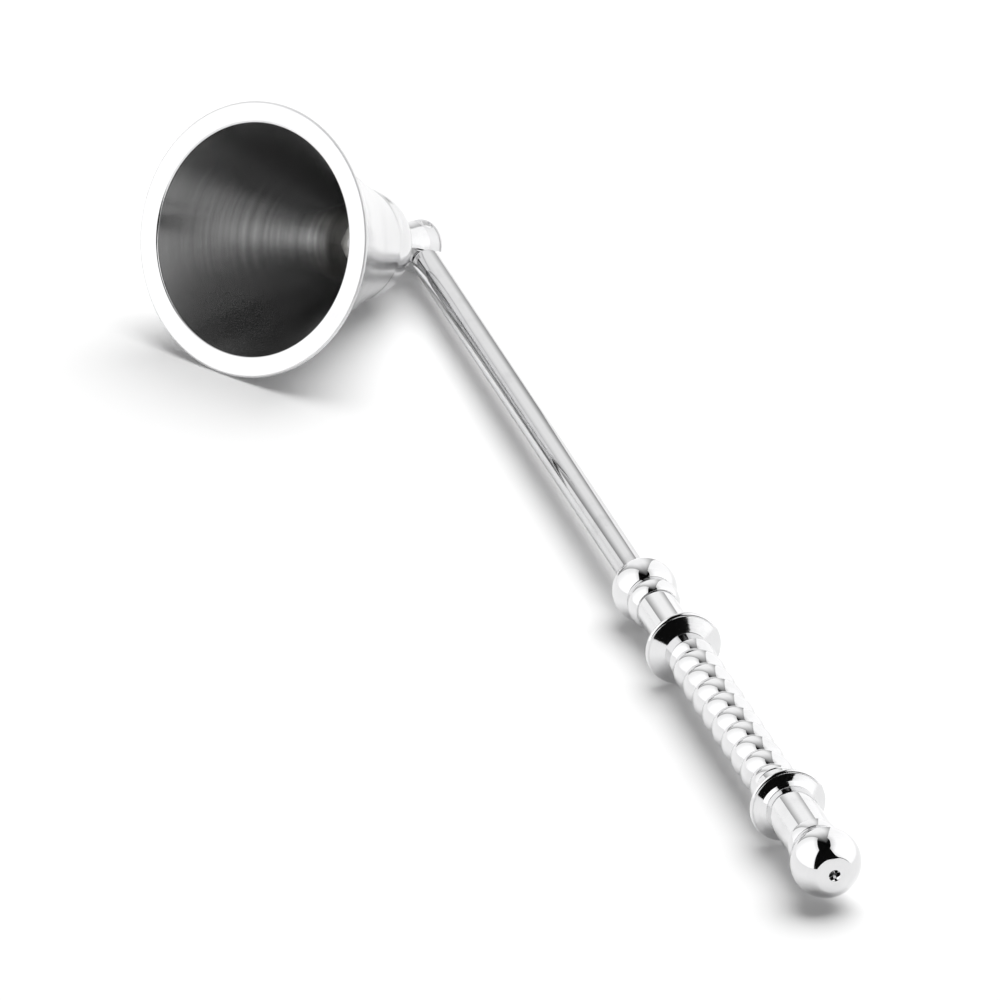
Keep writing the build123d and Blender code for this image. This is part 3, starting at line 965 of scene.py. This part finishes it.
def twist_tree():
    tree = bpy.data.node_groups.new("rope twist", "GeometryNodeTree")
    for name, value in TWIST.items():
        tree.interface.new_socket(name, in_out="INPUT", socket_type="NodeSocketFloat").default_value = value
    for name, value in TWIST_STEPS.items():
        tree.interface.new_socket(name, in_out="INPUT", socket_type="NodeSocketInt").default_value = value
    tree.interface.new_socket("Finish", in_out="INPUT", socket_type="NodeSocketMaterial")
    tree.interface.new_socket("Grip", in_out="OUTPUT", socket_type="NodeSocketGeometry")
    nodes, links = tree.nodes, tree.links
    given = nodes.new("NodeGroupInput")
    result = nodes.new("NodeGroupOutput")

    def calc(operation, first, second=None):
        return math_node(nodes, links, operation, first, second)

    grid = nodes.new("GeometryNodeMeshGrid")
    grid.inputs["Size X"].default_value = 1.0
    grid.inputs["Size Y"].default_value = 1.0
    links.new(given.outputs["Along"], grid.inputs["Vertices X"])
    links.new(given.outputs["Around"], grid.inputs["Vertices Y"])
    place = nodes.new("GeometryNodeInputPosition")
    split = nodes.new("ShaderNodeSeparateXYZ")
    links.new(place.outputs[0], split.inputs[0])
    height = calc("MULTIPLY", calc("ADD", split.outputs["X"], 0.5), given.outputs["Length"])
    round_share = calc("ADD", split.outputs["Y"], 0.5)
    turns_up = calc("DIVIDE", height, given.outputs["Pitch"])
    wound = calc("ADD", calc("ADD", round_share, turns_up), given.outputs["Start"])
    share = calc("FRACT", wound)
    from_crest = calc("ABSOLUTE", calc("SUBTRACT", calc("MULTIPLY", share, 2.0), 1.0))
    drop = calc("MULTIPLY", calc("POWER", from_crest, given.outputs["Fullness"]), given.outputs["Depth"])
    radius = calc("SUBTRACT", given.outputs["Radius"], drop)
    turn = calc("MULTIPLY", round_share, 2 * math.pi)
    point = nodes.new("ShaderNodeCombineXYZ")
    links.new(calc("MULTIPLY", radius, calc("COSINE", turn)), point.inputs["X"])
    links.new(calc("MULTIPLY", radius, calc("SINE", turn)), point.inputs["Y"])
    links.new(height, point.inputs["Z"])
    roll = nodes.new("GeometryNodeSetPosition")
    links.new(grid.outputs["Mesh"], roll.inputs["Geometry"])
    links.new(point.outputs[0], roll.inputs["Position"])
    weld = nodes.new("GeometryNodeMergeByDistance")
    weld.inputs["Distance"].default_value = 1e-4
    links.new(roll.outputs["Geometry"], weld.inputs["Geometry"])
    smooth = nodes.new("GeometryNodeSetShadeSmooth")
    links.new(weld.outputs["Geometry"], smooth.inputs["Geometry"])
    realize = nodes.new("GeometryNodeRealizeInstances")
    links.new(smooth.outputs["Geometry"], realize.inputs["Geometry"])
    finish = nodes.new("GeometryNodeSetMaterial")
    links.new(realize.outputs["Geometry"], finish.inputs["Geometry"])
    links.new(given.outputs["Finish"], finish.inputs["Material"])
    links.new(finish.outputs["Geometry"], result.inputs["Grip"])
    return tree


ROPE_TWIST = twist_tree()
print("rope twist inputs:", [item.name for item in ROPE_TWIST.interface.items_tree if item.in_out == "INPUT"])

# %% Twisted grip
def close_ends(piece):
    """Fills the open rings at the ends of a tube."""
    work = bmesh.new()
    work.from_mesh(piece.data)
    open_edges = [edge for edge in work.edges if edge.is_boundary]
    bmesh.ops.holes_fill(work, edges=open_edges)
    work.to_mesh(piece.data)
    work.free()


grip_source = bpy.data.objects.new("grip_source", bpy.data.meshes.new("grip_source"))
bpy.context.scene.collection.objects.link(grip_source)
grip_modifier = grip_source.modifiers.new("rope twist", "NODES")
grip_modifier.node_group = ROPE_TWIST
for name, value in (TWIST | TWIST_STEPS).items():
    set_input(grip_modifier, name, value)
set_input(grip_modifier, "Finish", handle_polish)
grip_place = handle_frame @ Matrix.Translation((0, 0, STATION["ring_back"] * MM))
grip = plain_mesh(grip_source, "rope_twist_grip", grip_place)
close_ends(grip)
point_outwards(grip)
adopt(grip, "handle", "twisted_grip")

# %% [markdown]
# ## Studio
#
# Mirror metal is lit by what it reflects. The balls of the handle show the photographer's set:
# a broad soft box on each side, a pale wall that fills the gap behind them, and darkness round
# the camera. Lamps alone would show as small hard dots, so each of these is a curved card on a
# dome, placed by its compass and height angles as read off the end ball. The cards light the
# metal and are hidden from the camera. A soft lamp high behind on the right, which the metal
# doesn't show, gives the shadow that hugs the left of the handle.

# %% Cards on a dome
DOME_RADIUS = 0.4
set_middle = Vector((ball_box[0][0] + ball_box[1][0], ball_box[0][1] + ball_box[1][1], 0)) / 2


def dome_way(azimuth, elevation):
    """The way to a place on the dome, in degrees from the camera towards its right and from the floor up."""
    a, e = math.radians(azimuth), math.radians(elevation)
    return (flat_back * math.cos(a) + flat_right * math.sin(a)) * math.cos(e) + Vector((0, 0, math.sin(e)))


def dome_patch(name, corners, material, radius=DOME_RADIUS, bow=(0, 2), pinch=0, steps=24):
    """A curved card on the dome between four (azimuth, elevation) corners, as degrees from the camera.

    The ends of its top edge drop by bow's first value, as those of a flat panel do, and bow's second
    value says how late. The middle of its left edge moves out by pinch."""
    (a0, e0), (a1, e1), (a2, e2), (a3, e3) = corners
    points = []
    for j in range(steps + 1):
        v = j / steps
        for i in range(steps + 1):
            u = i / steps
            azimuth = (a0 * (1 - u) + a1 * u) * (1 - v) + (a3 * (1 - u) + a2 * u) * v
            azimuth -= pinch * (1 - u) * 4 * v * (1 - v)
            elevation = (e0 * (1 - u) + e1 * u) * (1 - v) + (e3 * (1 - u) + e2 * u) * v
            elevation -= bow[0] * v * abs(2 * u - 1) ** bow[1]
            points.append(set_middle + dome_way(azimuth, elevation) * radius)
    row = steps + 1
    faces = [
        (j * row + i, j * row + i + 1, (j + 1) * row + i + 1, (j + 1) * row + i)
        for j in range(steps) for i in range(steps)
    ]
    mesh = bpy.data.meshes.new(name)
    mesh.from_pydata(points, [], faces)
    mesh.materials.append(material)
    spread = mesh.uv_layers.new(name="card")
    for loop in mesh.loops:
        spread.data[loop.index].uv = (loop.vertex_index % row / steps, loop.vertex_index // row / steps)
    card = bpy.data.objects.new(name, mesh)
    bpy.context.scene.collection.objects.link(card)
    card.visible_camera = False
    card.visible_shadow = False
    card.visible_diffuse = False


print("dome round", [round(c, 3) for c in set_middle], "m")

# %% Lit and dark cards
def glowing(name, core, left=(0, 1), right=(0, 1), top=(0, 1), bottom=(0, 1)):
    """A lit card. Towards an edge its light falls over a share of the card to a share of the core's level."""
    material = bpy.data.materials.new(name)
    material.use_nodes = True
    nodes, links = material.node_tree.nodes, material.node_tree.links
    nodes.clear()
    spread = nodes.new("ShaderNodeUVMap")
    spread.uv_map = "card"
    split = nodes.new("ShaderNodeSeparateXYZ")
    links.new(spread.outputs[0], split.inputs[0])
    level = core
    for axis, start, (soft, end_level) in (("X", 0, left), ("X", 1, right), ("Y", 1, top), ("Y", 0, bottom)):
        if soft:
            fade = nodes.new("ShaderNodeMapRange")
            fade.interpolation_type = "SMOOTHSTEP"
            fade.inputs["From Min"].default_value = start
            fade.inputs["From Max"].default_value = abs(start - soft)
            fade.inputs["To Min"].default_value = end_level
            links.new(split.outputs[axis], fade.inputs["Value"])
            level = math_node(nodes, links, "MULTIPLY", fade.outputs["Result"], level)
    light = nodes.new("ShaderNodeEmission")
    links.new(level, light.inputs["Strength"])
    output = nodes.new("ShaderNodeOutputMaterial")
    links.new(light.outputs[0], output.inputs["Surface"])
    return material


def dark_cloth(name):
    material = bpy.data.materials.new(name)
    material.use_nodes = True
    surface = material.node_tree.nodes["Principled BSDF"]
    surface.inputs["Base Color"].default_value = (0.006, 0.006, 0.006, 1)
    surface.inputs["Roughness"].default_value = 1.0
    surface.inputs["Specular IOR Level"].default_value = 0.0
    return material


black_cloth = dark_cloth("black_cloth")
left_light = glowing(
    "left_light", 1.4, left=(0.35, 0.8), right=(0.08, 0.8), top=(0.2, 0.75), bottom=(0.12, 0.85)
)
right_light = glowing(
    "right_light", 1.35, left=(0.15, 0.8), right=(0.45, 0.92), top=(0.25, 0.7), bottom=(0.12, 0.85)
)
wall_light = glowing("wall_light", 1.15, left=(0.36, 0.2), right=(0.45, 0.15), top=(0.65, 0.08))
print("cards:", [black_cloth.name, left_light.name, right_light.name, wall_light.name])

# %% Soft boxes, wall and dark room
WALL_RADIUS = 0.43
ROOM_RADIUS = 1.9
dome_patch("left_softbox", [(-144, -4), (-36, -4), (-43, 66), (-140, 66)], left_light, bow=(7, 2))
dome_patch("right_softbox", [(80, -3), (177, -3), (173, 79), (33, 79)], right_light, bow=(9, 2), pinch=8)
dome_patch("back_wall", [(174, -3), (220, -3), (245, 88), (150, 88)], wall_light, WALL_RADIUS)
dome_patch("dark_room", [(-180, 0), (180, 0), (180, 90), (-180, 90)], black_cloth, ROOM_RADIUS, steps=48)

# %% High soft lamp
LAMP_SIZE = 3.2
LAMP_WATTS = 93
LAMP_DISTANCE = 2.6
lamp_way = dome_way(152, 65)

lamp_data = bpy.data.lights.new("high_lamp", "AREA")
lamp_data.shape = "DISK"
lamp_data.size = LAMP_SIZE
lamp_data.energy = LAMP_WATTS
high_lamp = bpy.data.objects.new("high_lamp", lamp_data)
bpy.context.scene.collection.objects.link(high_lamp)
lamp_turn = lamp_way.to_track_quat("Z", "Y").to_matrix().to_4x4()
high_lamp.matrix_world = Matrix.Translation(set_middle + lamp_way * LAMP_DISTANCE) @ lamp_turn
high_lamp.visible_glossy = False
high_lamp.visible_camera = False
print("lamp at", [round(c, 2) for c in high_lamp.matrix_world.translation], "m")

# %% [markdown]
# ## Floor and background
#
# The ground is plain white paper. Its own shade comes from the light that reaches it, so it
# keeps the soft shadow, and a small lift for camera and mirror rays brings the open paper up
# to pure white.

# %% Floor
def white_rays(nodes, links):
    """1 for what the camera sees straight on or by way of metal and glass, else 0."""
    path = nodes.new("ShaderNodeLightPath")
    seen = math_node(nodes, links, "MAXIMUM", path.outputs["Is Camera Ray"], path.outputs["Is Glossy Ray"])
    return math_node(nodes, links, "MAXIMUM", seen, path.outputs["Is Transmission Ray"])


FLOOR_LIFT = 0.05
FLOOR_REACH = 6.0
PAPER_WHITE = (0.95, 0.95, 0.95, 1)
paper = bpy.data.materials.new("white_paper")
paper.use_nodes = True
nodes, links = paper.node_tree.nodes, paper.node_tree.links
nodes.clear()
matt = nodes.new("ShaderNodeBsdfDiffuse")
matt.inputs["Color"].default_value = PAPER_WHITE
lift = nodes.new("ShaderNodeEmission")
lifted = math_node(nodes, links, "MULTIPLY", white_rays(nodes, links), FLOOR_LIFT)
links.new(lifted, lift.inputs["Strength"])
both = nodes.new("ShaderNodeAddShader")
links.new(matt.outputs[0], both.inputs[0])
links.new(lift.outputs[0], both.inputs[1])
output = nodes.new("ShaderNodeOutputMaterial")
links.new(both.outputs[0], output.inputs["Surface"])

floor_mesh = bpy.data.meshes.new("floor")
floor_corners = [(x * FLOOR_REACH, y * FLOOR_REACH, 0) for x, y in ((-1, -1), (1, -1), (1, 1), (-1, 1))]
floor_mesh.from_pydata(floor_corners, [], [(0, 1, 2, 3)])
floor_mesh.materials.append(paper)
floor = bpy.data.objects.new("floor", floor_mesh)
bpy.context.scene.collection.objects.link(floor)
print("floor reaches", FLOOR_REACH, "m each way")

# %% World
ROOM_LEVEL = 0.15
world = bpy.data.worlds.new("white_room")
bpy.context.scene.world = world
world.use_nodes = True
nodes, links = world.node_tree.nodes, world.node_tree.links
background = nodes["Background"]
background.inputs["Color"].default_value = (1, 1, 1, 1)
shown = math_node(nodes, links, "MULTIPLY", white_rays(nodes, links), 1 - ROOM_LEVEL)
links.new(math_node(nodes, links, "ADD", shown, ROOM_LEVEL), background.inputs["Strength"])
bpy.context.scene.view_settings.view_transform = "Standard"
print("world level", ROOM_LEVEL, "for plain light, 1 where it shows")
